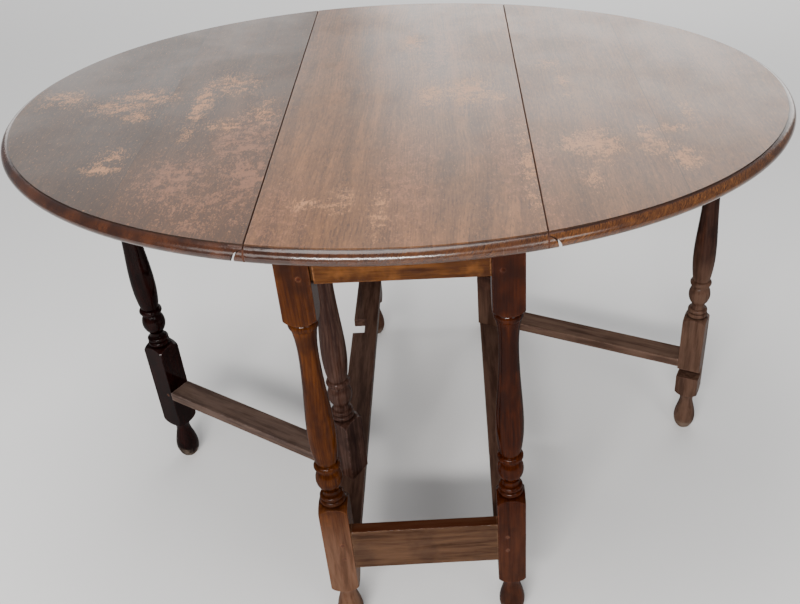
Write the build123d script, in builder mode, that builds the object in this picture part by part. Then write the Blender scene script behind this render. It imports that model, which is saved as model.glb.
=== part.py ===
from build123d import *
import os
from math import cos, radians, sin

# Gateleg drop leaf table in oak. X runs along the open oval, Y across it, +Z is up,
# and the origin is on the floor under the middle of the top. Sizes in millimetres.

# ---------------------------------------------------------------- driving sizes
HEIGHT = 740.0            # floor to table top
TOP_THICK = 20.0
OVAL_LONG = 600.0         # half the long axis of the oval top
OVAL_SHORT = 476.5        # half the short axis
SEAM_X = 178.6            # seam between centre board and leaf, at the top face
GLUE_X = 368.0            # glue line between the two boards of a leaf

LEG = 43.0                # square of every leg and post
LEG_X = 133.0             # leg centre lines
LEG_Y = 404.0
EDGE_ROUND = 1.4          # worn round on the arrises

APRON_BOTTOM = 667.0
RAIL_THICK = 19.0         # aprons and end stretchers
RAIL_SET_BACK = 3.0       # their faces sit this far inside the leg faces
SHOULDER_GAP = 3.5        # front apron has shrunk away from the left leg
STRETCHER_TOP = 219.0     # end stretchers, standing on edge
STRETCHER_BOTTOM = 139.0
SIDE_RAIL_THICK = 24.0    # side rails under the top, standing on edge
SIDE_WIDE = 50.0          # side stretchers, lying flat
SIDE_TOP = 152.0
SIDE_BOTTOM = 134.5

PIVOT_Y = 212.5           # gate posts, one near each end of opposite sides
GATE_REACH = 423.7        # post centre to gate leg centre
OPEN_ANGLE = {"left": 57.0, "right": 64.2}   # swing from closed to the stop
GATE_RAIL_TOP = 175.0     # lower gate rail, lying flat
GATE_RAIL_BOTTOM = 157.5
GATE_RAIL_WIDE = 44.0
UPPER_RAIL_TOP = 662.0    # upper gate rail, standing on edge
UPPER_RAIL_BOTTOM = 624.0
NOTCH_LONG = 48.0         # room for the closed gate leg in rail and stretcher
NOTCH_FACE = 133.7        # x of the bottom of the stretcher's notch
HALVING_FACE = 1.3        # gate leg is cut away on the inner side up to here

GAP = 0.3                 # between parts that move past each other
UNDERSIDE = HEIGHT - TOP_THICK
HAND = {"left": -1, "right": 1}

# rule joint between centre board and leaf
LIP = 4.0                 # square lip above the round
ROUND = 13.0              # quarter round on the centre board
PIN_Z = HEIGHT - LIP - ROUND
SEAM_GAP = 1.5
SEAM_ROUND = 0.9          # worn arris on both sides of the seam
COVE = 17.6               # wider cove worked in the leaf
COVE_Z = HEIGHT - 3.0 - COVE

# back-flap hinges
HINGE_Y = 270.0
HINGE_WIDE = 38.0
FIXED_LONG = 32.0
FLAP_LONG = 46.0
PLATE_THICK = 2.0
KNUCKLE_R = 2.9
HINGE_PIN_R = 1.5
KNUCKLES = 5

# wood screws: head radius, shank radius, length
HINGE_SCREW = (3.4, 1.7, 14.0)
BLOCK_SCREW = (4.0, 2.0, 38.0)
STOP_SCREW = (4.0, 2.0, 26.0)

TENON = 12.0              # tenon thickness in aprons and end stretchers
TENON_LONG = 30.0
SIDE_TENON_LONG = 17.0
POST_TENON_LONG = 15.0    # gate rails into the post
GATE_TENON_LONG = 26.0    # gate rails into the gate leg
PEG_R = 3.0
PEG_PROUD = 0.8           # height of a peg's domed end above the wood
PEG_LONG = 25.0
PEG_IN = 7.0              # from the leg's centre line towards the rail
GATE_PEG_LONG = 34.0
PIVOT_R = 5.0
PIVOT_FIT = 0.05          # radial clearance of the pivot pins in the frame
PIVOT_LONG = 44.0
PIVOT_IN_STRETCHER = 17.0 # length of the lower pin inside the side stretcher

# softwood blocks that hold the top and stop the gates
BLOCK_X = 70.0
BLOCK_SIZE = (52.0, 26.0, 26.0)
BLOCK_SCREW_X = 12.0      # screws left and right of the block's middle
BLOCK_SCREW_IN = 14.0     # upward screw, in from the apron
STOP_SIZE = (44.0, 18.0, 14.0)
STOP_SCREW_X = 12.0

# moulded rim of the oval
QUIRK_IN = 12.0           # the moulding starts this far in from the rim
QUIRK_DEEP = 1.5
QUIRK_WIDE = 0.9
NOSE_Z = HEIGHT - 11.0
UNDER_IN = 4.5

BLANK_R = 31.0            # just outside the corners of the square
SQUARE_TOP = 257.0        # top of the lower square
SQUARE_START = 630.0      # bottom of the untouched upper square


# ---------------------------------------------------------------- shared shapes
def upright(plane):
    """The plane that holds the given plane's x axis and, as its y axis, the plane's normal."""
    return Plane(plane.origin, x_dir=plane.x_dir, z_dir=-plane.y_dir)


def block(plane, u, v, w, mode=Mode.ADD):
    """A rectangular block between limits u, v and w along the plane's own axes."""
    with BuildSketch(plane.offset(w[0])) as section:
        with Locations(((u[0] + u[1]) / 2, (v[0] + v[1]) / 2)):
            Rectangle(u[1] - u[0], v[1] - v[0])
    extrude(section.sketch, amount=w[1] - w[0], mode=mode)


def rod(plane, radius, length, mode=Mode.ADD):
    """A round rod that runs from the plane along its normal."""
    with BuildSketch(plane) as section:
        Circle(radius)
    extrude(section.sketch, amount=length, mode=mode)


def peg(plane, length):
    """A peg driven in along the plane's normal, its domed end a little proud of the wood."""
    rod(plane, PEG_R, length)
    with BuildSketch(upright(plane)) as outline:
        with BuildLine():
            ThreePointArc((0, -PEG_PROUD), (PEG_R / 2, -0.76 * PEG_PROUD), (PEG_R, 0))
            Polyline((PEG_R, 0), (0, 0), (0, -PEG_PROUD))
        make_face()
    revolve(outline.sketch, axis=Axis(plane.origin, plane.z_dir))


def screw(plane, size, mode=Mode.ADD):
    """A countersunk screw: its head is flush with the plane, its point along the normal."""
    head, shank, length = size
    with BuildSketch(upright(plane)) as outline:
        with BuildLine():
            Polyline(
                (0, 0),
                (head, 0),
                (shank, head - shank),
                (shank, length - 2 * shank),
                (0, length),
                close=True,
            )
        make_face()
    revolve(outline.sketch, axis=Axis(plane.origin, plane.z_dir), mode=mode)


def slot(plane, size):
    """The driver slot across a screw head."""
    head = size[0]
    block(plane, (-head, head), (-0.5, 0.5), (0, 1.2), Mode.SUBTRACT)


def turning():
    """Outline of the turning between the two squares: beads, ball, ring and vase."""
    ThreePointArc((BLANK_R, SQUARE_TOP), (27.0, 266.5), (17.6, 272.0))
    Line((17.6, 272.0), (16.6, 272.6))
    ThreePointArc((16.6, 272.6), (19.0, 277.0), (16.6, 281.4))
    Line((16.6, 281.4), (15.8, 282.2))
    ThreePointArc((15.8, 282.2), (18.2, 286.4), (15.4, 290.6))
    Line((15.4, 290.6), (13.6, 291.2))
    ThreePointArc((13.6, 291.2), (12.0, 297.0), (14.2, 303.0))
    ThreePointArc((14.2, 303.0), (20.0, 320.0), (15.2, 337.0))
    Line((15.2, 337.0), (15.2, 340.2))
    Line((15.2, 340.2), (16.9, 340.8))
    ThreePointArc((16.9, 340.8), (19.6, 346.0), (16.9, 351.2))
    Line((16.9, 351.2), (15.4, 352.0))
    Spline(
        (15.4, 352.0),
        (20.4, 404.0),
        (17.6, 462.0),
        (13.8, 533.0),
        (15.3, 577.0),
        (17.6, 591.0),
    )
    ThreePointArc((17.6, 591.0), (20.4, 597.5), (17.8, 604.0))
    Line((17.8, 604.0), (19.0, 604.5))
    ThreePointArc((19.0, 604.5), (27.5, 611.0), (BLANK_R, 623.0))
    Line((BLANK_R, 623.0), (BLANK_R, SQUARE_START))


def foot():
    """Outline of the turned foot and the shoulder under the lower square."""
    Line((0, 0), (13.2, 0))
    Spline((13.2, 0), (20.8, 28.0), (16.6, 50.0), (12.8, 66.0))
    ThreePointArc((12.8, 66.0), (13.6, 76.5), (17.4, 85.5))
    Line((17.4, 85.5), (18.6, 86.5))
    ThreePointArc((18.6, 86.5), (27.3, 92.0), (BLANK_R, 102.0))
    Line((BLANK_R, 102.0), (BLANK_R, SQUARE_TOP))


def turned_square(plane, bottom, top):
    """A leg or post turned from a square blank that stands on the plane's origin."""
    with BuildSketch(upright(plane)) as outline:
        with BuildLine():
            if bottom == 0:
                foot()
            else:
                Polyline((0, bottom), (BLANK_R, bottom), (BLANK_R, SQUARE_TOP))
            turning()
            Polyline((BLANK_R, SQUARE_START), (BLANK_R, top), (0, top), (0, bottom))
        make_face()
    revolve(outline.sketch, axis=Axis(plane.origin, plane.z_dir))
    with BuildSketch(plane.offset(bottom)) as square:
        RectangleRounded(LEG, LEG, EDGE_ROUND)
    extrude(square.sketch, amount=top - bottom, mode=Mode.INTERSECT)


def finish(builder, name):
    """Label a finished piece and write it out."""
    builder.part.label = name
    export_step(builder.part, f"parts/{name}.step")


# ---------------------------------------------------------------- joints in the frame
half = LEG / 2
FACE_Y = LEG_Y + half - RAIL_SET_BACK              # outer faces of aprons and end stretchers
MID_Y = FACE_Y - RAIL_THICK / 2
INNER_X = LEG_X - half                             # inner faces of the legs
INNER_Y = LEG_Y - half
SIDE_RAIL_IN = LEG_X - SIDE_RAIL_THICK / 2
SIDE_RAIL_OUT = LEG_X + SIDE_RAIL_THICK / 2
NOTCH_Y = GATE_REACH - PIVOT_Y                     # centre of the closed gate leg

END_JOINTS = {
    "apron": {"z": (APRON_BOTTOM, UNDERSIDE), "tenon": (671.0, 713.0), "pegs": (677.0, 705.0)},
    "stretcher": {
        "z": (STRETCHER_BOTTOM, STRETCHER_TOP),
        "tenon": (146.0, 212.0),
        "pegs": (164.0, 194.0),
    },
}
SIDE_JOINTS = {
    "rail": {"tenon": (671.0, 713.0), "half": 6.0},
    "stretcher": {"tenon": (138.0, 148.5), "half": 15.0},
}


def end_tenon(sx, sy, joint, mode):
    """The tenon of an apron or end stretcher in the leg at (sx, sy)."""
    u = sorted((sx * (INNER_X - SHOULDER_GAP), sx * (INNER_X + TENON_LONG)))
    v = sorted((sy * (MID_Y - TENON / 2), sy * (MID_Y + TENON / 2)))
    block(Plane.XY, u, v, END_JOINTS[joint]["tenon"], mode)


def side_tenon(sx, sy, joint, mode):
    """The tenon of a side rail or side stretcher in the leg at (sx, sy)."""
    width = SIDE_JOINTS[joint]["half"]
    u = (sx * LEG_X - width, sx * LEG_X + width)
    v = sorted((sy * INNER_Y, sy * (INNER_Y + SIDE_TENON_LONG)))
    block(Plane.XY, u, v, SIDE_JOINTS[joint]["tenon"], mode)


def peg_planes(sx, sy, joint):
    """Where the pegs of an end joint enter the leg, pointing inwards."""
    x = sx * (LEG_X - PEG_IN)
    face = sy * (LEG_Y + half)
    return [Plane((x, face, z), x_dir=(1, 0, 0), z_dir=(0, -sy, 0)) for z in END_JOINTS[joint]["pegs"]]


# ---------------------------------------------------------------- corner legs
os.makedirs("parts", exist_ok=True)

for end, sy in (("front", -1), ("back", 1)):
    for side, sx in HAND.items():
        with BuildPart() as leg:
            turned_square(Plane((sx * LEG_X, sy * LEG_Y, 0)), 0, UNDERSIDE)
            for joint in END_JOINTS:
                end_tenon(sx, sy, joint, Mode.SUBTRACT)
                for plane in peg_planes(sx, sy, joint):
                    rod(plane, PEG_R, PEG_LONG, Mode.SUBTRACT)
            for joint in SIDE_JOINTS:
                side_tenon(sx, sy, joint, Mode.SUBTRACT)
        finish(leg, f"leg_{end}_{side}")

# ---------------------------------------------------------------- top blocks, inside the aprons
BLOCK_SPOTS = [(sx, sy) for sx in (-1, 1) for sy in (-1, 1)]
INSIDE_Y = FACE_Y - RAIL_THICK


def block_screw_planes(sx, sy):
    """One screw up into the top and one outwards into the apron, for each block."""
    up = (sx * (BLOCK_X - BLOCK_SCREW_X), sy * (INSIDE_Y - BLOCK_SCREW_IN), UNDERSIDE - BLOCK_SIZE[2])
    out = (sx * (BLOCK_X + BLOCK_SCREW_X), sy * (INSIDE_Y - BLOCK_SIZE[1]), UNDERSIDE - 12)
    return Plane(up, z_dir=(0, 0, 1)), Plane(out, x_dir=(1, 0, 0), z_dir=(0, sy, 0))


with BuildPart() as top_blocks:
    for sx, sy in BLOCK_SPOTS:
        v = sorted((sy * (INSIDE_Y - BLOCK_SIZE[1]), sy * INSIDE_Y))
        u = (sx * BLOCK_X - BLOCK_SIZE[0] / 2, sx * BLOCK_X + BLOCK_SIZE[0] / 2)
        block(Plane.XY, u, v, (UNDERSIDE - BLOCK_SIZE[2], UNDERSIDE))
    for sx, sy in BLOCK_SPOTS:
        for plane in block_screw_planes(sx, sy):
            screw(plane, BLOCK_SCREW, Mode.SUBTRACT)
finish(top_blocks, "top_blocks")

with BuildPart() as top_block_screws:
    for sx, sy in BLOCK_SPOTS:
        for plane in block_screw_planes(sx, sy):
            screw(plane, BLOCK_SCREW)
    for sx, sy in BLOCK_SPOTS:
        for plane in block_screw_planes(sx, sy):
            slot(plane, BLOCK_SCREW)
finish(top_block_screws, "top_block_screws")

# ---------------------------------------------------------------- aprons and end stretchers
for joint, spec in END_JOINTS.items():
    for end, sy in (("front", -1), ("back", 1)):
        with BuildPart() as rail:
            v = sorted((sy * FACE_Y, sy * (FACE_Y - RAIL_THICK)))
            open_joint = SHOULDER_GAP if (joint, end) == ("apron", "front") else 0
            block(Plane.XY, (-INNER_X + open_joint, INNER_X), v, spec["z"])
            fillet(rail.edges().filter_by(Axis.X), EDGE_ROUND)
            for sx in (-1, 1):
                end_tenon(sx, sy, joint, Mode.ADD)
                for plane in peg_planes(sx, sy, joint):
                    rod(plane, PEG_R, PEG_LONG, Mode.SUBTRACT)
                if joint == "apron":
                    screw(block_screw_planes(sx, sy)[1], BLOCK_SCREW, Mode.SUBTRACT)
        finish(rail, f"{joint}_{end}")

with BuildPart() as frame_pegs:
    for joint in END_JOINTS:
        for sx in (-1, 1):
            for sy in (-1, 1):
                for plane in peg_planes(sx, sy, joint):
                    peg(plane, PEG_LONG)
finish(frame_pegs, "frame_pegs")


# ---------------------------------------------------------------- side rails and side stretchers
def notch(sx, inner, outer, z):
    """The halving for the closed gate leg, in the outer half of a side member."""
    u = sorted((sx * inner, sx * (outer + 1)))
    v = (-sx * NOTCH_Y - NOTCH_LONG / 2, -sx * NOTCH_Y + NOTCH_LONG / 2)
    block(Plane.XY, u, v, z, Mode.SUBTRACT)


def pivot_plane(side, z):
    """Level plane on the axis of a gate post."""
    sx = HAND[side]
    return Plane((sx * LEG_X, sx * PIVOT_Y, z))


for side, sx in HAND.items():
    with BuildPart() as side_rail:
        u = sorted((sx * SIDE_RAIL_IN, sx * SIDE_RAIL_OUT))
        block(Plane.XY, u, (-INNER_Y, INNER_Y), (APRON_BOTTOM, UNDERSIDE))
        fillet(side_rail.edges().filter_by(Axis.Y), EDGE_ROUND)
        for sy in (-1, 1):
            side_tenon(sx, sy, "rail", Mode.ADD)
        notch(sx, LEG_X, SIDE_RAIL_OUT, (APRON_BOTTOM - 1, UNDERSIDE + 1))
        rod(pivot_plane(side, APRON_BOTTOM), PIVOT_R + PIVOT_FIT, PIVOT_LONG / 2 + 1, Mode.SUBTRACT)
    finish(side_rail, f"side_rail_{side}")

    with BuildPart() as side_stretcher:
        u = (sx * LEG_X - SIDE_WIDE / 2, sx * LEG_X + SIDE_WIDE / 2)
        block(Plane.XY, u, (-INNER_Y, INNER_Y), (SIDE_BOTTOM, SIDE_TOP))
        fillet(side_stretcher.edges().filter_by(Axis.Y), EDGE_ROUND)
        for sy in (-1, 1):
            side_tenon(sx, sy, "stretcher", Mode.ADD)
        notch(sx, NOTCH_FACE, LEG_X + SIDE_WIDE / 2, (SIDE_BOTTOM - 1, SIDE_TOP + 1))
        rod(pivot_plane(side, SIDE_BOTTOM), PIVOT_R + PIVOT_FIT, SIDE_TOP - SIDE_BOTTOM, Mode.SUBTRACT)
    finish(side_stretcher, f"stretcher_{side}")

# ---------------------------------------------------------------- gates
POST_BOTTOM = SIDE_TOP + 0.5
POST_TOP = APRON_BOTTOM - 0.5
GATE_TOP = UNDERSIDE - GAP


def gate_plane(side):
    """Floor plane of an open gate: x runs from the post to the gate leg."""
    sx = HAND[side]
    angle = radians(-90 * sx + OPEN_ANGLE[side])
    return Plane((sx * LEG_X, sx * PIVOT_Y, 0), x_dir=(cos(angle), sin(angle), 0), z_dir=(0, 0, 1))


GATE_JOINTS = {
    "lower": {
        "z": (GATE_RAIL_BOTTOM, GATE_RAIL_TOP),
        "wide": GATE_RAIL_WIDE,
        "tenon": (161.0, 171.5),
        "half": 14.0,
    },
    "upper": {
        "z": (UPPER_RAIL_BOTTOM, UPPER_RAIL_TOP),
        "wide": RAIL_THICK,
        "tenon": (628.0, 658.0),
        "half": 6.0,
    },
}
GATE_TENONS = {
    "post": (half - POST_TENON_LONG, half),
    "leg": (GATE_REACH - half, GATE_REACH - half + GATE_TENON_LONG),
}


def gate_tenon(plane, end, joint, mode):
    """A gate rail's tenon in the post or in the gate leg."""
    width = GATE_JOINTS[joint]["half"]
    block(plane, GATE_TENONS[end], (-width, width), GATE_JOINTS[joint]["tenon"], mode)


def gate_peg_planes(plane):
    """Pegs through the four gate joints, entering the outer face."""
    places = []
    for u in (half - 8, GATE_REACH - half + 10):
        for z in (166.2, 643.0):
            origin = plane.from_local_coords((u, half, z))
            places.append(Plane(origin, x_dir=plane.x_dir, z_dir=-plane.y_dir))
    return places


PIVOT_SPANS = (
    (POST_BOTTOM - PIVOT_IN_STRETCHER, PIVOT_LONG - 2),
    (POST_TOP - PIVOT_LONG / 2, PIVOT_LONG),
)

for side in HAND:
    gate = gate_plane(side)

    with BuildPart() as post:
        turned_square(gate, POST_BOTTOM, POST_TOP)
        chamfer(post.edges().group_by(Axis.Z)[0], 1.2)
        for joint in GATE_JOINTS:
            gate_tenon(gate, "post", joint, Mode.SUBTRACT)
        for plane in gate_peg_planes(gate)[:2]:
            rod(plane, PEG_R, GATE_PEG_LONG, Mode.SUBTRACT)
        for z, length in PIVOT_SPANS:
            rod(gate.offset(z), PIVOT_R, length, Mode.SUBTRACT)
    finish(post, f"gate_{side}_post")

    with BuildPart() as gate_leg:
        foot_centre = gate.from_local_coords((GATE_REACH, 0, 0))
        turned_square(Plane(foot_centre, x_dir=gate.x_dir, z_dir=(0, 0, 1)), 0, GATE_TOP)
        across = (GATE_REACH - half - 1, GATE_REACH + half + 1)
        block(gate, across, (-half - 1, HALVING_FACE), (SIDE_BOTTOM - 1, SIDE_TOP + 1), Mode.SUBTRACT)
        block(gate, across, (-half - 1, HALVING_FACE), (APRON_BOTTOM - 3, UNDERSIDE), Mode.SUBTRACT)
        for joint in GATE_JOINTS:
            gate_tenon(gate, "leg", joint, Mode.SUBTRACT)
        for plane in gate_peg_planes(gate)[2:]:
            rod(plane, PEG_R, GATE_PEG_LONG, Mode.SUBTRACT)
    finish(gate_leg, f"gate_{side}_leg")

    for joint, spec in GATE_JOINTS.items():
        with BuildPart() as gate_rail:
            width = spec["wide"] / 2
            block(gate, (half, GATE_REACH - half), (-width, width), spec["z"])
            fillet(gate_rail.edges().filter_by(Axis(gate.origin, gate.x_dir)), EDGE_ROUND)
            for end in GATE_TENONS:
                gate_tenon(gate, end, joint, Mode.ADD)
            for plane in gate_peg_planes(gate):
                rod(plane, PEG_R, GATE_PEG_LONG, Mode.SUBTRACT)
        finish(gate_rail, f"gate_{side}_{joint}_rail")

    with BuildPart() as gate_pegs:
        for plane in gate_peg_planes(gate):
            peg(plane, GATE_PEG_LONG)
    finish(gate_pegs, f"gate_{side}_pegs")

    with BuildPart() as pivot_pins:
        for z, length in PIVOT_SPANS:
            rod(gate.offset(z), PIVOT_R, length)
    finish(pivot_pins, f"gate_{side}_pivot_pins")

# ---------------------------------------------------------------- oval top
with BuildPart() as oval:
    with BuildSketch(Plane.XY.offset(UNDERSIDE)):
        Ellipse(OVAL_LONG + 2, OVAL_SHORT + 2)
    extrude(amount=TOP_THICK)
    with BuildSketch(Plane.XZ.move(Location((OVAL_LONG, 0, 0)))):
        with BuildLine():
            Line((-QUIRK_IN, HEIGHT + 1), (-QUIRK_IN, HEIGHT - QUIRK_DEEP))
            Line((-QUIRK_IN, HEIGHT - QUIRK_DEEP), (-QUIRK_IN + QUIRK_WIDE, HEIGHT - QUIRK_DEEP))
            ThreePointArc(
                (-QUIRK_IN + QUIRK_WIDE, HEIGHT - QUIRK_DEEP),
                (-3.6, HEIGHT - 4.6),
                (0, NOSE_Z),
            )
            ThreePointArc((0, NOSE_Z), (-1.0, UNDERSIDE + 3.4), (-UNDER_IN, UNDERSIDE))
            Polyline(
                (-UNDER_IN, UNDERSIDE),
                (-UNDER_IN, UNDERSIDE - 1),
                (4, UNDERSIDE - 1),
                (4, HEIGHT + 1),
                (-QUIRK_IN, HEIGHT + 1),
            )
        make_face()
    with BuildLine(Plane.XY.offset(NOSE_Z)) as rim:
        EllipticalCenterArc((0, 0), OVAL_LONG, OVAL_SHORT, arc_size=360)
    sweep(path=rim.line, mode=Mode.SUBTRACT)


def hinge_plane(side, y):
    """Floor plane of a hinge: x points from the centre board to the leaf."""
    sx = HAND[side]
    return Plane((sx * SEAM_X, y, 0), x_dir=(sx, 0, 0), z_dir=(0, 0, 1))


def hinge_screws(side, y, flap):
    """Screw places of one hinge plate, in its underside."""
    if flap:
        spots = ((16.0, -11.0), (16.0, 11.0), (38.0, 0.0))
    else:
        spots = ((-13.0, -11.0), (-13.0, 11.0), (-25.0, 0.0))
    plane = hinge_plane(side, y)
    return [Plane(plane.from_local_coords((u, v, UNDERSIDE)), z_dir=(0, 0, 1)) for u, v in spots]


def fixed_recess(side, y):
    """Room in the centre board for a hinge: plate, knuckles and the flap that passes under it."""
    plane = hinge_plane(side, y)
    wide = (-HINGE_WIDE / 2, HINGE_WIDE / 2)
    plate_z = (UNDERSIDE, UNDERSIDE + PLATE_THICK)
    loose = (-HINGE_WIDE / 2 - GAP, HINGE_WIDE / 2 + GAP)
    knuckle_z = (UNDERSIDE, PIN_Z + KNUCKLE_R + 2 * GAP)
    block(plane, (-FIXED_LONG, -KNUCKLE_R - 1), wide, plate_z, Mode.SUBTRACT)
    block(plane, (-KNUCKLE_R - 1, ROUND + 1), loose, knuckle_z, Mode.SUBTRACT)


def board(outline, *side):
    """The part of the oval top inside an outline in X and Z, on one side of the table."""
    add(oval.part)
    with BuildSketch(Plane.XZ) as region:
        with BuildLine():
            outline(*side)
        make_face()
    extrude(region.sketch, amount=OVAL_SHORT + 10, both=True, mode=Mode.INTERSECT)


def centre_outline():
    """Flat top between two lips, with a quarter round under each lip."""
    edge = SEAM_X + ROUND
    Line((-SEAM_X, HEIGHT - LIP), (-SEAM_X, HEIGHT - SEAM_ROUND))
    CenterArc((-SEAM_X + SEAM_ROUND, HEIGHT - SEAM_ROUND), SEAM_ROUND, 90, 90)
    Line((-SEAM_X + SEAM_ROUND, HEIGHT), (SEAM_X - SEAM_ROUND, HEIGHT))
    CenterArc((SEAM_X - SEAM_ROUND, HEIGHT - SEAM_ROUND), SEAM_ROUND, 0, 90)
    Line((SEAM_X, HEIGHT - SEAM_ROUND), (SEAM_X, HEIGHT - LIP))
    CenterArc((SEAM_X, PIN_Z), ROUND, 0, 90)
    Polyline((edge, PIN_Z), (edge, UNDERSIDE), (-edge, UNDERSIDE), (-edge, PIN_Z))
    CenterArc((-SEAM_X, PIN_Z), ROUND, 90, 90)


def inner_outline(sx):
    """Coved edge at the seam, square edge at the glue line."""
    top = COVE_Z + (COVE**2 - SEAM_GAP**2) ** 0.5
    toe = sx * (SEAM_X + (COVE**2 - (UNDERSIDE - COVE_Z) ** 2) ** 0.5)
    start = sx * (SEAM_X + SEAM_GAP)
    middle = (sx * (SEAM_X + COVE * sin(radians(45))), COVE_Z + COVE * cos(radians(45)))
    shoulder = sx * (SEAM_X + SEAM_GAP + SEAM_ROUND)
    glue = sx * GLUE_X
    Line((start, top), (start, HEIGHT - SEAM_ROUND))
    RadiusArc((start, HEIGHT - SEAM_ROUND), (shoulder, HEIGHT), sx * SEAM_ROUND)
    Polyline((shoulder, HEIGHT), (glue, HEIGHT), (glue, UNDERSIDE), (toe, UNDERSIDE))
    ThreePointArc((toe, UNDERSIDE), middle, (start, top))


def outer_outline(sx):
    """Everything beyond the glue line."""
    glue = sx * GLUE_X
    rim_x = sx * (OVAL_LONG + 5)
    Polyline((glue, HEIGHT), (rim_x, HEIGHT), (rim_x, UNDERSIDE), (glue, UNDERSIDE), close=True)


with BuildPart() as centre:
    board(centre_outline)
    for side in HAND:
        for y in (-HINGE_Y, HINGE_Y):
            fixed_recess(side, y)
            for plane in hinge_screws(side, y, flap=False):
                screw(plane, HINGE_SCREW, Mode.SUBTRACT)
    for sx, sy in BLOCK_SPOTS:
        screw(block_screw_planes(sx, sy)[0], BLOCK_SCREW, Mode.SUBTRACT)
finish(centre, "top_centre_board")


# ---------------------------------------------------------------- gate stops under the leaves
def stop_limits():
    """Block under the leaf that the open gate leg comes to rest against."""
    v = half + GAP
    return (GATE_REACH - STOP_SIZE[0] / 2, GATE_REACH + STOP_SIZE[0] / 2), (v, v + STOP_SIZE[1])


def stop_screws(side):
    """Two screws up through the stop into the leaf."""
    gate = gate_plane(side)
    v = half + GAP + STOP_SIZE[1] / 2
    z = UNDERSIDE - STOP_SIZE[2]
    places = [(GATE_REACH + sign * STOP_SCREW_X, v, z) for sign in (-1, 1)]
    return [Plane(gate.from_local_coords(place), z_dir=(0, 0, 1)) for place in places]


# ---------------------------------------------------------------- leaves
for side, sx in HAND.items():
    with BuildPart() as inner:
        board(inner_outline, sx)
        for y in (-HINGE_Y, HINGE_Y):
            wide = (-HINGE_WIDE / 2, HINGE_WIDE / 2)
            plate = (UNDERSIDE, UNDERSIDE + PLATE_THICK)
            block(hinge_plane(side, y), (0, FLAP_LONG), wide, plate, Mode.SUBTRACT)
            for plane in hinge_screws(side, y, flap=True):
                screw(plane, HINGE_SCREW, Mode.SUBTRACT)
    finish(inner, f"leaf_{side}_inner_board")

    with BuildPart() as outer:
        board(outer_outline, sx)
        for plane in stop_screws(side):
            screw(plane, STOP_SCREW, Mode.SUBTRACT)
    finish(outer, f"leaf_{side}_outer_board")

    with BuildPart() as stop:
        u, v = stop_limits()
        block(gate_plane(side), u, v, (UNDERSIDE - STOP_SIZE[2], UNDERSIDE))
        for plane in stop_screws(side):
            screw(plane, STOP_SCREW, Mode.SUBTRACT)
    finish(stop, f"gate_stop_{side}")

    with BuildPart() as stop_fixings:
        for plane in stop_screws(side):
            screw(plane, STOP_SCREW)
        for plane in stop_screws(side):
            slot(plane, STOP_SCREW)
    finish(stop_fixings, f"gate_stop_{side}_screws")

# ---------------------------------------------------------------- hinges
KNUCKLE_LONG = HINGE_WIDE / KNUCKLES


def knuckles(side, y, first, direction, reach):
    """Every second knuckle with its web, starting at the given one, and the plate behind them."""
    plane = hinge_plane(side, y)
    plate_z = (UNDERSIDE, UNDERSIDE + PLATE_THICK)
    near = direction * (KNUCKLE_R + 0.4)
    wide = (-HINGE_WIDE / 2, HINGE_WIDE / 2)
    block(plane, sorted((near, direction * reach)), wide, plate_z)
    for index in range(first, KNUCKLES, 2):
        low = -HINGE_WIDE / 2 + index * KNUCKLE_LONG + GAP / 2
        high = low + KNUCKLE_LONG - GAP
        start = Plane(plane.from_local_coords((0, low, PIN_Z)), x_dir=plane.x_dir, z_dir=plane.y_dir)
        block(plane, sorted((0, near)), (low, high), (UNDERSIDE + 0.1, UNDERSIDE + PLATE_THICK))
        rod(start, KNUCKLE_R, KNUCKLE_LONG - GAP)


def pin_start(side, y):
    """Plane at the front end of a hinge pin, facing back."""
    return Plane((HAND[side] * SEAM_X, y - HINGE_WIDE / 2, PIN_Z), x_dir=(1, 0, 0), z_dir=(0, 1, 0))


for side in HAND:
    for end, y in (("front", -HINGE_Y), ("back", HINGE_Y)):
        with BuildPart() as fixed:
            knuckles(side, y, 0, -1, FIXED_LONG)
            rod(pin_start(side, y), HINGE_PIN_R, HINGE_WIDE, Mode.SUBTRACT)
            for plane in hinge_screws(side, y, flap=False):
                screw(plane, HINGE_SCREW, Mode.SUBTRACT)
        finish(fixed, f"hinge_{side}_{end}_fixed")

        with BuildPart() as flap:
            knuckles(side, y, 1, 1, FLAP_LONG)
            rod(pin_start(side, y), HINGE_PIN_R + 0.05, HINGE_WIDE, Mode.SUBTRACT)
            for plane in hinge_screws(side, y, flap=True):
                screw(plane, HINGE_SCREW, Mode.SUBTRACT)
        finish(flap, f"hinge_{side}_{end}_flap")

        with BuildPart() as pin:
            rod(pin_start(side, y), HINGE_PIN_R, HINGE_WIDE)
        finish(pin, f"hinge_{side}_{end}_pin")

    for flap_side, label in ((False, "fixed"), (True, "flap")):
        with BuildPart() as fixings:
            for y in (-HINGE_Y, HINGE_Y):
                for plane in hinge_screws(side, y, flap_side):
                    screw(plane, HINGE_SCREW)
            for y in (-HINGE_Y, HINGE_Y):
                for plane in hinge_screws(side, y, flap_side):
                    slot(plane, HINGE_SCREW)
        finish(fixings, f"hinge_{side}_{label}_screws")
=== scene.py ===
import math

import bpy
from mathutils import Matrix, Vector


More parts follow.
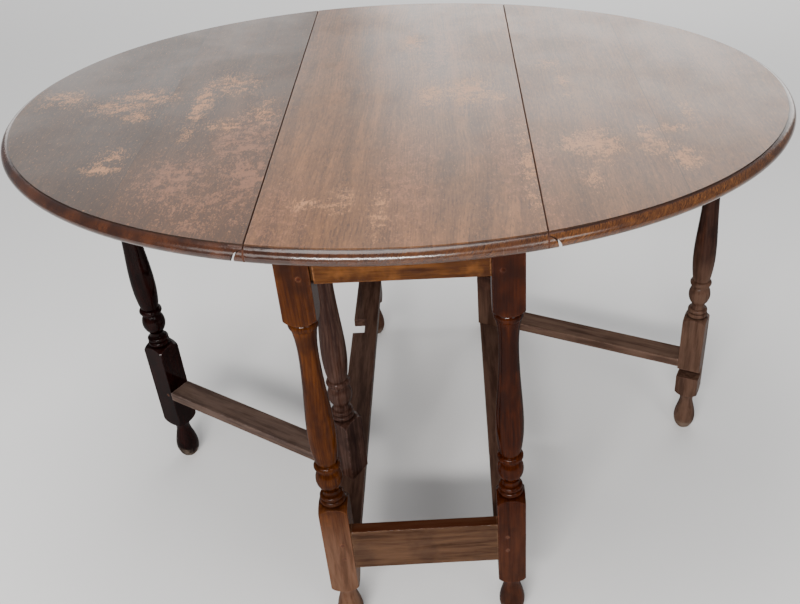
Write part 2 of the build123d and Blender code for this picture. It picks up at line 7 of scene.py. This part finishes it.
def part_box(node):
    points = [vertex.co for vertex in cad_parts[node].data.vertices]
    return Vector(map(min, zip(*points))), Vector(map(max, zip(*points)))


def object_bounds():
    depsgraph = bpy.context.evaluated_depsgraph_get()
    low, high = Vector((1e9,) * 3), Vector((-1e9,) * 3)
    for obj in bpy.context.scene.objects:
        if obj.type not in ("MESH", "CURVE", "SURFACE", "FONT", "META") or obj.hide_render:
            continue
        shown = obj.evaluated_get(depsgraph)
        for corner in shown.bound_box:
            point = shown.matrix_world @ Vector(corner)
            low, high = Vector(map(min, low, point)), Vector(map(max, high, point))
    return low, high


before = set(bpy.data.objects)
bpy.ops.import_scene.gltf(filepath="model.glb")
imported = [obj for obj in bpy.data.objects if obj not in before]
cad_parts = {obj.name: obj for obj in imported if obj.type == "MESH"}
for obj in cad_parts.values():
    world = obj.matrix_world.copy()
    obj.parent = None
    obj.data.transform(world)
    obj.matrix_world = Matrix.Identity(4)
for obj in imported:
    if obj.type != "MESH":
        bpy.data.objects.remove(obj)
cad_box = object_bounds()

# The table stands on z = 0 with the long axis of its oval top along X. Sizes in metres.
LOW, HIGH = cad_box
TOP_Z = HIGH.z
OVAL_X = (HIGH.x - LOW.x) / 2
OVAL_Y = (HIGH.y - LOW.y) / 2
GLUE_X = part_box("leaf_right_outer_board")[0].x
HINGE_X = sum(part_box("hinge_right_front_pin"), Vector()).x / 2
LEAF_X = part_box("leaf_right_inner_board")[0].x
SEAM_X = (HINGE_X + LEAF_X) / 2
QUIRK_IN = 0.012          # inset of the groove that starts the moulded edge


# ---------------------------------------------------------------- shader graph helper
class Graph:
    """Adds and links the nodes of one material."""

    def __init__(self, name):
        self.material = bpy.data.materials.new(name)
        self.material.use_nodes = True
        self.tree = self.material.node_tree
        self.tree.nodes.clear()

    def add(self, kind, sockets, **settings):
        node = self.tree.nodes.new(kind)
        for key, value in settings.items():
            setattr(node, key, value)
        for key, value in sockets.items():
            if isinstance(value, bpy.types.NodeSocket):
                self.tree.links.new(value, node.inputs[key])
            else:
                node.inputs[key].default_value = value
        return node

    def math(self, operation, a, b=0.0, c=0.0, clamp=False):
        node = self.add("ShaderNodeMath", {0: a, 1: b, 2: c}, operation=operation, use_clamp=clamp)
        return node.outputs[0]

    def vector(self, operation, a, b=(0, 0, 0), output=0):
        return self.add("ShaderNodeVectorMath", {0: a, 1: b}, operation=operation).outputs[output]

    def noise(self, vector, scale, detail=3.0, roughness=0.55, distortion=0.0):
        sockets = {
            "Vector": vector,
            "Scale": scale,
            "Detail": detail,
            "Roughness": roughness,
            "Distortion": distortion,
        }
        return self.add("ShaderNodeTexNoise", sockets).outputs["Fac"]

    def ramp(self, value, low, high, start=0.0, stop=1.0):
        """The value mapped smoothly from low..high to start..stop."""
        sockets = {"Value": value, "From Min": low, "From Max": high, "To Min": start, "To Max": stop}
        node = self.add("ShaderNodeMapRange", sockets, interpolation_type="SMOOTHSTEP")
        return node.outputs["Result"]

    def mix(self, factor, a, b):
        node = self.add("ShaderNodeMix", {"Factor": factor}, data_type="RGBA")
        for name, value in (("A_Color", a), ("B_Color", b)):
            socket = next(s for s in node.inputs if s.identifier == name)
            if isinstance(value, bpy.types.NodeSocket):
                self.tree.links.new(value, socket)
            else:
                socket.default_value = (*value, 1.0)
        return next(s for s in node.outputs if s.identifier == "Result_Color")

    def scaled(self, vector, scale):
        return self.vector("MULTIPLY", vector, scale)

    def axis(self, vector, axis):
        return self.add("ShaderNodeSeparateXYZ", {0: vector}).outputs[axis]

    def crease(self, distance, inside):
        """0 on open surface, more in hollows, or on sharp edges where inside is set."""
        settings = {"samples": 6, "inside": inside, "only_local": True}
        node = self.add("ShaderNodeAmbientOcclusion", {"Distance": distance}, **settings)
        return self.math("SUBTRACT", 1.0, node.outputs["AO"])

    def finish(self, **sockets):
        shader = self.add("ShaderNodeBsdfPrincipled", {})
        for key, value in sockets.items():
            name = key.replace("_", " ")
            if isinstance(value, bpy.types.NodeSocket):
                self.tree.links.new(value, shader.inputs[name])
            else:
                shader.inputs[name].default_value = value
        self.add("ShaderNodeOutputMaterial", {"Surface": shader.outputs[0]})
        return self.material


# ---------------------------------------------------------------- oak
LINE_PITCH = 0.0046       # from one dark growth line to the next
TURN = {"Y": (0, 0, 0), "X": (0, 0, math.pi / 2), "Z": (math.pi / 2, 0, 0)}


def grain_space(g, along, seed):
    """Object coordinates turned so that the grain runs along Y, moved by the seed."""
    place = g.add("ShaderNodeTexCoord", {}).outputs["Object"]
    turn = TURN[along] if isinstance(along, str) else (0, 0, along)
    sockets = {"Vector": place, "Location": (seed * 1.37, seed * 0.73, seed * 2.11), "Rotation": turn}
    return place, g.add("ShaderNodeMapping", sockets, vector_type="POINT").outputs["Vector"]


def oak_pattern(g, grain):
    """Growth rings, fibres, pores and clouds of an oak board, each from 0 to 1."""
    bend = g.noise(g.scaled(grain, (5.0, 1.6, 5.0)), 1.0, 2.0)
    sideways = g.add("ShaderNodeCombineXYZ", {"X": bend}).outputs[0]
    waved = g.vector("ADD", grain, g.scaled(sideways, (0.05, 0, 0)))
    rings = g.noise(g.scaled(waved, (95.0, 1.7, 95.0)), 1.0, 2.0, 0.5)
    fibres = g.noise(g.scaled(waved, (420.0, 9.0, 420.0)), 1.0, 3.0, 0.6)
    pores = g.noise(g.scaled(waved, (1300.0, 45.0, 1300.0)), 1.0, 1.0, 0.5)
    clouds = g.noise(grain, 7.0, 4.0, 0.6)
    turns = g.math("MULTIPLY", g.axis(waved, "X"), 2 * math.pi / LINE_PITCH)
    arches = g.math("MULTIPLY", g.noise(g.scaled(grain, (8.0, 1.5, 8.0)), 1.0, 1.0), 75.0)
    drift = g.math("MULTIPLY", g.noise(g.scaled(grain, (60.0, 5.0, 60.0)), 1.0, 3.0, 0.6), 14.0)
    waves = g.math("SINE", g.math("ADD", g.math("ADD", turns, arches), drift))
    broken = g.ramp(g.noise(g.scaled(grain, (55.0, 14.0, 55.0)), 1.0, 3.0, 0.7), 0.38, 0.60)
    lines = g.math("MULTIPLY", g.ramp(waves, 0.0, 1.0), broken)
    streaks = g.noise(g.scaled(waved, (38.0, 3.2, 38.0)), 1.0, 3.0, 0.65)
    return {
        "rings": rings,
        "fibres": fibres,
        "pores": pores,
        "clouds": clouds,
        "lines": lines,
        "streaks": streaks,
    }


def oak_colour(g, pattern, dark, mid, light, figure=0.75, pores=0.6):
    """Colour of stained oak from its pattern."""
    colour = g.mix(g.ramp(pattern["rings"], 0.36, 0.66), dark, mid)
    colour = g.mix(g.ramp(pattern["fibres"], 0.42, 0.75, 0.0, figure), colour, light)
    colour = g.mix(g.ramp(pattern["clouds"], 0.5, 0.75, 0.0, 0.55), colour, dark)
    return g.mix(g.ramp(pattern["pores"], 0.60, 0.72, 0.0, pores), colour, tuple(c * 0.35 for c in dark))


def spots(g, place, blobs):
    """Coverage of worn patches, from blobs (x, y, radius x, radius y, strength), broken into specks."""
    total = 0.0
    for x, y, across, along, strength in blobs:
        away = g.scaled(g.vector("SUBTRACT", place, (x, y, TOP_Z)), (1 / across, 1 / along, 0))
        reach = g.ramp(g.vector("LENGTH", away, output="Value"), 2.2, 0.0, 0.0, strength)
        total = g.math("MAXIMUM", total, reach)
    islands = g.noise(place, 60.0, 6.0, 0.75, 0.4)
    cover = g.math("MULTIPLY", total, g.ramp(islands, 0.36, 0.62, 0.15, 1.35))
    strokes = g.noise(g.scaled(place, (420.0, 130.0, 1.0)), 1.0, 3.0, 0.8)
    dots = g.noise(g.scaled(place, (500.0, 500.0, 1.0)), 1.0, 2.0, 0.8)
    fine = g.math("ADD", g.math("MULTIPLY", strokes, 0.6), g.math("MULTIPLY", dots, 0.4))
    return g.ramp(g.math("ADD", fine, g.math("MULTIPLY", cover, 0.32)), 0.56, 0.72)


TOP_TONES = {"dark": (0.098, 0.042, 0.016), "mid": (0.136, 0.057, 0.020), "light": (0.215, 0.092, 0.032)}
WARM = (0.260, 0.108, 0.034)
BLACKENED = (0.034, 0.016, 0.009)
GLUE_LINE = (0.02, 0.012, 0.008)
# Dirt and painted shade in the quirk groove.
GROOVE_DIRT_AND_SHADE = (0.016, 0.008, 0.005)
# Dirt and painted shade along the seams.
SEAM_DIRT_AND_SHADE = (0.052, 0.015, 0.005)
# Darker tones of the underside: painted shade.
UNDERSIDE_SHADE = {"dark": (0.030, 0.016, 0.009), "mid": (0.050, 0.027, 0.015), "light": (0.080, 0.045, 0.025)}
WORN_TAN = (0.43, 0.195, 0.078)
WORN_ROSE = (0.290, 0.118, 0.056)


def rim_inset(g, place):
    """Distance from the rim of the oval, measured inwards."""
    flat = g.scaled(place, (1 / OVAL_X**2, 1 / OVAL_Y**2, 0))
    level = g.math("SUBTRACT", 1.0, g.vector("DOT_PRODUCT", place, flat, "Value"))
    slope = g.math("MULTIPLY", g.vector("LENGTH", flat, output="Value"), 2.0)
    return g.math("DIVIDE", level, slope)


def moulding(g, place, across, inset, pattern):
    """Colour of the moulded edge: dark on the left, flecked with golden strokes on the right."""
    slant = g.vector("DOT_PRODUCT", place, (1.0, 0.35, -1.2), "Value")
    strokes = g.add("ShaderNodeCombineXYZ", {"X": slant, "Y": across, "Z": g.axis(place, "Y")}).outputs[0]
    flecks = g.noise(g.scaled(strokes, (900.0, 150.0, 150.0)), 1.0, 3.0, 0.7)
    golden = g.mix(g.ramp(flecks, 0.40, 0.66), (0.038, 0.012, 0.004), (0.150, 0.056, 0.014))
    plain = g.mix(g.ramp(pattern["streaks"], 0.34, 0.72), (0.015, 0.004, 0.002), (0.052, 0.015, 0.005))
    amount = g.math("MULTIPLY", g.ramp(across, -0.15, 0.20, 0.08, 1.0), g.ramp(pattern["clouds"], 0.72, 0.46))
    return g.mix(g.math("MULTIPLY", amount, g.ramp(inset, 0.0100, 0.0065)), plain, golden)


def rule_joint(g, outward, place):
    """1 on the round and the cove under the seam, which face along X, and 0 elsewhere."""
    facing = g.math("ABSOLUTE", g.axis(g.add("ShaderNodeNewGeometry", {}).outputs["Normal"], "Y"))
    beside = g.math("ABSOLUTE", g.math("SUBTRACT", outward, HINGE_X + 0.009))
    below = g.ramp(g.axis(place, "Z"), TOP_Z - 0.0012, TOP_Z - 0.0022)
    near = g.math("MULTIPLY", g.ramp(beside, 0.0105, 0.0100), g.ramp(facing, 0.35, 0.20))
    return g.math("MULTIPLY", below, near)


def top_board(name, seed, tan, rose, shade, figure, haze=0.40):
    """A board of the top: hazy wax, worn patches, dirt and painted shade in the quirk and the seam, painted
    shade underneath, a warmer moulded edge.
    """
    g = Graph(name)
    place, grain = grain_space(g, "Y", seed)
    pattern = oak_pattern(g, grain)
    tones = {tone: tuple(shade * c for c in value) for tone, value in TOP_TONES.items()}
    colour = oak_colour(g, pattern, **tones, figure=0.35, pores=0.45)
    warm = tuple(shade * c for c in WARM)
    black = tuple(shade * c for c in BLACKENED)
    colour = g.mix(g.ramp(pattern["streaks"], 0.52, 0.70, 0.0, 0.55 * figure), colour, warm)
    colour = g.mix(g.ramp(pattern["streaks"], 0.47, 0.32, 0.0, 0.60 * figure), colour, black)
    colour = g.mix(g.math("MULTIPLY", pattern["lines"], 0.55 * figure), colour, black)
    dashes = g.noise(g.scaled(place, (380.0, 75.0, 1.0)), 1.0, 2.0, 0.8)
    colour = g.mix(g.ramp(dashes, 0.53, 0.72, 0.0, 0.70), colour, black)
    colour = g.mix(g.ramp(dashes, 0.46, 0.30, 0.0, 0.45), colour, warm)
    tint = 0.0
    for x, y, across, along, strength in rose:
        away = g.scaled(g.vector("SUBTRACT", place, (x, y, TOP_Z)), (0.6 / across, 0.6 / along, 0))
        distance = g.vector("LENGTH", away, output="Value")
        tint = g.math("MAXIMUM", tint, g.ramp(distance, 1.6, 0.2, 0.0, strength))
    rosy = g.math("MAXIMUM", g.math("MULTIPLY", tint, 0.16), g.math("MULTIPLY", spots(g, place, rose), 0.65))
    worn = g.math("MULTIPLY", spots(g, place, tan), 0.85)
    colour = g.mix(rosy, colour, WORN_ROSE)
    colour = g.mix(worn, colour, WORN_TAN)

    across = g.axis(place, "X")
    outward = g.math("ABSOLUTE", across)
    glue = g.math("ABSOLUTE", g.math("SUBTRACT", outward, GLUE_X))
    colour = g.mix(g.ramp(glue, 0.0011, 0.0003, 0.0, 0.7), colour, GLUE_LINE)

    inset = rim_inset(g, place)
    edge = g.ramp(inset, QUIRK_IN, QUIRK_IN - 0.0008)
    colour = g.mix(edge, colour, moulding(g, place, across, inset, pattern))
    # Dark line in the quirk groove: dirt and painted shade, weaker at the front than at the sides.
    groove = g.math("ABSOLUTE", g.math("SUBTRACT", inset, QUIRK_IN))
    depth = g.ramp(outward, 0.06, 0.28, 0.35, 0.9)
    colour = g.mix(g.math("MULTIPLY", g.ramp(groove, 0.0011, 0.0003), depth), colour, GROOVE_DIRT_AND_SHADE)
    # Dark seam: dirt and painted shade along the gap and on the round and cove between the boards.
    seam = g.math("ABSOLUTE", g.math("SUBTRACT", outward, SEAM_X))
    seam_dirt_and_shade = g.math("MAXIMUM", g.ramp(seam, 0.0015, 0.0009), rule_joint(g, outward, place))
    colour = g.mix(seam_dirt_and_shade, colour, SEAM_DIRT_AND_SHADE)

    # Downward faces take the darker underside tones: painted shade under the top.
    below = g.ramp(g.axis(g.add("ShaderNodeNewGeometry", {}).outputs["Normal"], "Z"), -0.5, -0.9)
    colour = g.mix(below, colour, oak_colour(g, pattern, **UNDERSIDE_SHADE))

    gloss = g.ramp(pattern["clouds"], 0.35, 0.7, haze - 0.05, haze + 0.07)
    gloss = g.math("ADD", gloss, g.math("MULTIPLY", worn, 0.12))
    gloss = g.math("SUBTRACT", gloss, g.math("MULTIPLY", edge, 0.20))
    gloss = g.math("MAXIMUM", gloss, g.math("MAXIMUM", seam_dirt_and_shade, g.math("MULTIPLY", below, 0.8)))
    bare = g.math("MAXIMUM", g.math("MAXIMUM", seam_dirt_and_shade, below), g.math("MULTIPLY", edge, 0.6))
    height = g.math("ADD", pattern["fibres"], g.math("MULTIPLY", pattern["pores"], -0.6))
    height = g.math("MULTIPLY", height, g.ramp(edge, 0.0, 1.0, 1.0, 0.25))
    bump = g.add("ShaderNodeBump", {"Strength": 0.25, "Distance": 0.0004, "Height": height})
    return g.finish(
        Base_Color=colour,
        Roughness=gloss,
        Normal=bump.outputs[0],
        Coat_Weight=g.ramp(bare, 0.0, 1.0, 0.35, 0.0),
        Coat_Roughness=0.25,
    )


# Lighter, greyer tone low down: dust, and painted light where the upper parts lie in the shade of the top.
DUST_AND_LIGHT_TONE = (0.122, 0.073, 0.050)
DUST_AND_LIGHT_FADE = 0.13          # height over which the lighter low tone (dust and painted light) thins out on a leg
SCUFFED = (0.16, 0.12, 0.09)


def board(name, along, seed, tones, gloss=0.34, worn=0.0, above=None, dust_and_light_strength=0.7, dust_and_light_to=0.29):
    """Stained oak of a rail, leg or post: patina, dirt and painted shade in the hollows,
    edges and crests lightened by wear and a painted highlight.

    Level faces take a darker tone as painted shade, where it is given; everything low down
    is duller and lighter, from dust and painted light.
    """
    g = Graph(name)
    place, grain = grain_space(g, along, seed)
    pattern = oak_pattern(g, grain)
    dark, mid, light = tones["dark"], tones["mid"], tones["light"]
    soft = tuple((a + b) / 2 for a, b in zip(dark, mid))
    colour = oak_colour(g, pattern, soft, mid, tuple((a + b) / 2 for a, b in zip(mid, light)), pores=0.35)
    patina = g.noise(g.scaled(grain, (85.0, 8.0, 85.0)), 1.0, 5.0, 0.62)
    colour = g.mix(g.ramp(patina, 0.50, 0.68, 0.0, 0.65), colour, light)
    colour = g.mix(g.ramp(patina, 0.50, 0.34, 0.0, 0.70), colour, dark)
    colour = g.mix(g.math("MULTIPLY", pattern["lines"], 0.42), colour, dark)
    colour = g.mix(g.ramp(g.noise(place, 16.0, 3.0, 0.6), 0.52, 0.36, 0.0, 0.6), colour, dark)
    rubbed = g.ramp(g.noise(place, 11.0 + seed % 3, 4.0, 0.65), 0.58, 0.74, 0.0, worn)
    colour = g.mix(rubbed, colour, tuple(c * 1.9 for c in light))

    # Upward faces take the darker tone: painted shade.
    if above:
        facing = g.axis(g.add("ShaderNodeNewGeometry", {}).outputs["Normal"], "Z")
        colour = g.mix(g.ramp(facing, 0.5, 0.9), colour, above["mid"])
    # Lighter and greyer low down: dust and painted light.
    low = g.axis(place, "Z")
    low_down = g.ramp(low, dust_and_light_to, dust_and_light_to - DUST_AND_LIGHT_FADE)
    dust_and_light_mask = g.math("MULTIPLY", low_down, g.ramp(patina, 0.35, 0.6, 0.4 * dust_and_light_strength, dust_and_light_strength))
    colour = g.mix(dust_and_light_mask, colour, tuple(0.35 * c + 0.65 * d for c, d in zip(light, DUST_AND_LIGHT_TONE)))
    scuff = g.math("MULTIPLY", g.ramp(low, 0.06, 0.0), g.noise(place, 60.0, 4.0, 0.7))
    colour = g.mix(g.ramp(scuff, 0.3, 0.55, 0.0, 0.55), colour, SCUFFED)
    # Lighter sharp edges and crests: wear and a painted highlight.
    ragged = g.noise(place, 90.0, 3.0, 0.7)
    sharp = g.ramp(g.crease(0.003, True), 0.10, 0.42)
    edge = g.math("MULTIPLY", sharp, g.ramp(ragged, 0.42, 0.66, 0.15, 0.8))
    colour = g.mix(edge, colour, tuple(c * 1.7 + 0.02 for c in light))
    # Darker hollows from occlusion: dirt and painted shade.
    dirt = g.ramp(g.crease(0.012, False), 0.16, 0.55, 0.0, 0.8)
    colour = g.mix(dirt, colour, tuple(c * 0.25 for c in dark))

    rough = g.ramp(pattern["clouds"], 0.35, 0.7, gloss - 0.04, gloss + 0.10)
    height = g.math("ADD", pattern["fibres"], g.math("MULTIPLY", pattern["pores"], -0.6))
    bump = g.add("ShaderNodeBump", {"Strength": 0.22, "Distance": 0.0004, "Height": height})
    return g.finish(
        Base_Color=colour,
        Roughness=rough,
        Normal=bump.outputs[0],
        Specular_IOR_Level=0.0,
        Coat_Weight=0.18,
        Coat_Roughness=0.09,
    )


def metal(name, colour, gloss):
    """Dull old metal."""
    g = Graph(name)
    place = g.add("ShaderNodeTexCoord", {}).outputs["Object"]
    dirt = g.noise(place, 160.0, 4.0, 0.65)
    shade = g.mix(g.ramp(dirt, 0.4, 0.65, 0.0, 0.7), colour, (0.05, 0.03, 0.02))
    rough = g.ramp(dirt, 0.35, 0.7, gloss, gloss + 0.25)
    return g.finish(Base_Color=shade, Metallic=0.85, Roughness=rough)


def paint(node, material):
    """Give a CAD node its material."""
    for material_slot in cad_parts[node].material_slots:
        material_slot.material = material


# ---------------------------------------------------------------- the top
# Worn places: x, y, radius across the grain, radius along it, strength.
LEFT_TAN = [
    (-0.535, 0.030, 0.035, 0.030, 0.45),
    (-0.445, -0.010, 0.030, 0.026, 0.54),
    (-0.405, 0.025, 0.040, 0.030, 0.54),
    (-0.400, -0.045, 0.022, 0.020, 0.50),
    (-0.402, -0.190, 0.018, 0.026, 0.50),
    (-0.405, -0.228, 0.020, 0.012, 0.62),
    (-0.312, -0.005, 0.014, 0.075, 0.62),
    (-0.275, 0.065, 0.035, 0.040, 0.48),
    (-0.262, -0.095, 0.024, 0.022, 0.55),
    (-0.315, -0.115, 0.010, 0.030, 0.45),
    (-0.215, -0.050, 0.020, 0.050, 0.48),
]
LEFT_ROSE = [
    (-0.225, -0.140, 0.035, 0.080, 0.75),
    (-0.205, -0.250, 0.030, 0.120, 0.62),
    (-0.295, -0.265, 0.045, 0.060, 0.62),
    (-0.250, -0.330, 0.070, 0.060, 0.42),
    (-0.255, -0.390, 0.040, 0.030, 0.42),
]
CENTRE_TAN = [
    (0.005, 0.240, 0.018, 0.040, 0.50),
    (0.100, 0.005, 0.030, 0.045, 0.64),
    (0.040, -0.005, 0.018, 0.040, 0.58),
    (0.145, -0.030, 0.012, 0.018, 0.50),
    (-0.118, -0.348, 0.016, 0.016, 0.58),
    (-0.074, -0.345, 0.016, 0.026, 0.62),
    (-0.095, -0.356, 0.018, 0.008, 0.50),
    (-0.025, -0.385, 0.010, 0.050, 0.50),
    (0.172, -0.270, 0.010, 0.120, 0.52),
]
CENTRE_ROSE = [
    (-0.150, -0.380, 0.040, 0.090, 0.42),
    (0.010, -0.300, 0.035, 0.180, 0.42),
    (0.050, 0.150, 0.060, 0.120, 0.35),
    (0.150, -0.240, 0.030, 0.150, 0.40),
]
RIGHT_TAN = [
    (0.240, -0.205, 0.018, 0.026, 0.74),
    (0.275, -0.210, 0.026, 0.040, 0.78),
    (0.345, -0.185, 0.012, 0.028, 0.55),
    (0.350, -0.225, 0.020, 0.026, 0.52),
    (0.388, -0.165, 0.022, 0.014, 0.52),
    (0.384, -0.260, 0.018, 0.028, 0.70),
    (0.420, -0.100, 0.010, 0.026, 0.55),
    (0.250, 0.030, 0.010, 0.060, 0.45),
    (0.230, 0.110, 0.020, 0.020, 0.42),
    (0.250, -0.310, 0.014, 0.030, 0.46),
]
RIGHT_ROSE = [
    (0.190, -0.240, 0.018, 0.080, 0.50),
    (0.190, -0.400, 0.018, 0.060, 0.46),
]

# Boards of the top: material, seed, tan and rosy worn places, brightness, strength of the figure.
TOP_BOARDS = {
    "top_centre_board": ("oak top centre", 3.0, CENTRE_TAN, CENTRE_ROSE, 1.14, 0.9),
    # The left leaf is set far darker than the other boards: partly the wood's own tone, partly painted shade.
    "leaf_left_inner_board": ("oak left leaf inner", 5.0, LEFT_TAN, LEFT_ROSE, 0.43, 0.55),
    "leaf_left_outer_board": ("oak left leaf outer", 6.3, LEFT_TAN, LEFT_ROSE, 0.33, 0.4),
    "leaf_right_inner_board": ("oak right leaf inner", 8.1, RIGHT_TAN, RIGHT_ROSE, 1.08, 0.55),
    "leaf_right_outer_board": ("oak right leaf outer", 9.4, RIGHT_TAN, RIGHT_ROSE, 1.08, 0.4),
}
for node, spec in TOP_BOARDS.items():
    paint(node, top_board(*spec))


# ---------------------------------------------------------------- the frame and the gates
def stain(red, green, blue):
    """Dark, middle and light tones of one stain."""
    return {
        "dark": (red * 0.26, green * 0.20, blue * 0.22),
        "mid": (red, green, blue),
        "light": (red * 1.7, green * 1.9, blue * 2.0),
    }


RED_BROWN = stain(0.048, 0.0120, 0.0015)
DARK_RED = stain(0.029, 0.0052, 0.0007)
GOLDEN = stain(0.076, 0.0260, 0.0060)
OLIVE_BROWN = stain(0.046, 0.0195, 0.0078)
BROWN = stain(0.030, 0.0110, 0.0065)
GREY_BROWN = stain(0.064, 0.0350, 0.0250)
DEEP_RED = stain(0.030, 0.0125, 0.0095)
PLUM = stain(0.046, 0.0215, 0.0150)
GREY_PLUM = stain(0.046, 0.0310, 0.0270)
BLACK_BROWN = stain(0.0090, 0.0040, 0.0028)
BLACK_RED = stain(0.0085, 0.0018, 0.0014)

# Frame and gate nodes: direction of the grain, stain, how far the wood is rubbed.
WOOD = {
    "leg_front_left": ("Z", RED_BROWN, 0.30),
    "leg_front_right": ("Z", DARK_RED, 0.12),
    "leg_back_left": ("Z", DARK_RED, 0.2),
    "leg_back_right": ("Z", DARK_RED, 0.2),
    "apron_front": ("X", GOLDEN, 0.30),
    "apron_back": ("X", BROWN, 0.1),
    "side_rail_left": ("Y", BLACK_BROWN, 0.1),
    "side_rail_right": ("Y", BLACK_BROWN, 0.1),
    "stretcher_front": ("X", OLIVE_BROWN, 0.25),
    "stretcher_back": ("X", BROWN, 0.2),
    # Darker red side stretchers: partly the stain, partly painted shade.
    "stretcher_left": ("Y", DEEP_RED, 0.1),
    "stretcher_right": ("Y", DEEP_RED, 0.1),
    "gate_left_post": ("Z", PLUM, 0.55),
    "gate_right_post": ("Z", BROWN, 0.3),
    # Near-black: partly the stain, partly painted shade.
    "gate_left_leg": ("Z", BLACK_RED, 0.1),
    "gate_right_leg": ("Z", BROWN, 0.15),
}
# Nodes whose lighter, duller lower part (dust and painted light) differs: strength, height.
DUST_AND_LIGHT = {
    "leg_front_left": (1.0, 0.29),
    "leg_front_right": (0.15, 0.29),
    "stretcher_front": (0.35, 0.29),
    "gate_right_leg": (0.75, 0.45),
    "gate_left_post": (0.0, 0.29),
    "gate_left_leg": (0.0, 0.29),
}
COMMON_DUST_AND_LIGHT = (0.6, 0.29)
WOOD_SEED = 11.0
SEED_STEP = 1.7
GATE_RAIL_SEED = 41.0
for count, (node, (along, tones, worn)) in enumerate(WOOD.items()):
    dust_and_light_strength, dust_and_light_to = DUST_AND_LIGHT.get(node, COMMON_DUST_AND_LIGHT)
    look = {"worn": worn, "dust_and_light_strength": dust_and_light_strength, "dust_and_light_to": dust_and_light_to}
    if node == "stretcher_front":
        # Its upward faces take the darker tone: painted shade.
        look["above"] = DARK_RED
    seed = WOOD_SEED + SEED_STEP * count
    paint(node, board("oak " + node.replace("_", " "), along, seed, tones, **look))


def gate_angle(side):
    """Direction from a gate's post to its leg, seen from above."""
    post = sum(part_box(f"gate_{side}_post"), Vector()) / 2
    leg = sum(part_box(f"gate_{side}_leg"), Vector()) / 2
    return math.atan2(leg.y - post.y, leg.x - post.x)


for side, tones in (("left", GREY_PLUM), ("right", GREY_BROWN)):
    turn = math.pi / 2 - gate_angle(side)
    for level in ("upper", "lower"):
        node = f"gate_{side}_{level}_rail"
        seed = GATE_RAIL_SEED + len(node)
        paint(node, board("oak " + node.replace("_", " "), turn, seed, tones, worn=0.2))

peg_oak = board("oak pegs", "Y", 51.0, DARK_RED, dust_and_light_strength=0.5)
for node in ("frame_pegs", "gate_left_pegs", "gate_right_pegs"):
    paint(node, peg_oak)
raw = {"dark": (0.12, 0.07, 0.04), "mid": (0.20, 0.12, 0.07), "light": (0.30, 0.19, 0.11)}
raw_oak = board("oak blocks", "X", 53.0, raw, gloss=0.6)
for node in ("top_blocks", "gate_stop_left", "gate_stop_right"):
    paint(node, raw_oak)

# ---------------------------------------------------------------- hinges, pins and screws
iron = metal("old iron", (0.16, 0.13, 0.11), 0.45)
steel = metal("dull steel", (0.42, 0.40, 0.37), 0.32)
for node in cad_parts:
    if node.endswith("_fixed") or node.endswith("_flap"):
        paint(node, iron)
    elif node.endswith("screws") or node.endswith("_pin") or node.endswith("_pins"):
        paint(node, steel)


# ---------------------------------------------------------------- studio
FLOOR_SIZE = 24.0
FLOOR_COLOUR = (0.74, 0.74, 0.74, 1.0)


def floor():
    """Plain pale floor."""
    bpy.ops.mesh.primitive_plane_add(size=FLOOR_SIZE, location=(0, 0, 0))
    plane = bpy.context.object
    plane.name = "studio_floor"
    g = Graph("studio floor")
    plane.data.materials.append(g.finish(Base_Color=FLOOR_COLOUR, Roughness=0.9))


def softbox(name, place, target, size, power, colour):
    """A soft rectangular light that faces its target."""
    light = bpy.data.lights.new(name, "AREA")
    light.shape = "RECTANGLE"
    light.size, light.size_y = size
    light.energy = power
    light.color = colour
    lamp = bpy.data.objects.new(name, light)
    lamp.location = place
    lamp.rotation_euler = (Vector(target) - Vector(place)).to_track_quat("-Z", "Y").to_euler()
    bpy.context.collection.objects.link(lamp)


WORLD_STRENGTH = 0.34


def surroundings():
    """Even light from all round."""
    world = bpy.data.worlds.new("studio")
    bpy.context.scene.world = world
    world.use_nodes = True
    background = world.node_tree.nodes["Background"]
    background.inputs["Color"].default_value = (0.93, 0.96, 1.0, 1.0)
    background.inputs["Strength"].default_value = WORLD_STRENGTH


CAMERA_PLACE = (0.0753, -1.4064, 1.2982)
CAMERA_TURN = (0.040, 0.621, -0.023)   # yaw, pitch and roll in radians
CAMERA_SHIFT = (-0.119, 0.028)


def camera():
    """The view of the table that the object is made for."""
    yaw, pitch, roll = CAMERA_TURN
    ahead = Vector((math.sin(yaw) * math.cos(pitch), math.cos(yaw) * math.cos(pitch), -math.sin(pitch)))
    level = Vector((math.cos(yaw), -math.sin(yaw), 0.0))
    upright = level.cross(ahead)
    right = level * math.cos(roll) + upright * math.sin(roll)
    up = upright * math.cos(roll) - level * math.sin(roll)
    data = bpy.data.cameras.new("camera")
    data.sensor_width = 36.0
    data.lens = 42.3
    data.shift_x, data.shift_y = CAMERA_SHIFT
    view = bpy.data.objects.new("camera", data)
    turned = Matrix((right, up, -ahead)).transposed().to_4x4()
    view.matrix_world = Matrix.Translation(CAMERA_PLACE) @ turned
    bpy.context.collection.objects.link(view)
    bpy.context.scene.camera = view


floor()
surroundings()
softbox("window", (1.65, 4.15, 1.7), (0, 0, 0.7), (4.6, 2.0), 109.0, (1.0, 0.98, 0.955))
softbox("back wall", (-2.1, 4.2, 1.5), (0, 0, 0.7), (2.8, 1.8), 36.0, (1.0, 0.98, 0.96))
softbox("overhead", (-0.3, 0.1, 3.0), (0, 0, 0.4), (1.8, 1.4), 52.0, (1.0, 0.98, 0.96))
softbox("front left", (-1.75, -2.8, 2.1), (0, 0, 0.6), (2.4, 1.2), 36.0, (1.0, 0.98, 0.95))
softbox("front", (-0.45, -2.7, 1.8), (0, 0, 0.5), (1.4, 0.20), 105.0, (1.0, 0.97, 0.94))
softbox("front right", (1.8, -2.8, 2.1), (0, 0, 0.6), (1.2, 1.0), 22.0, (1.0, 0.98, 0.95))
camera()
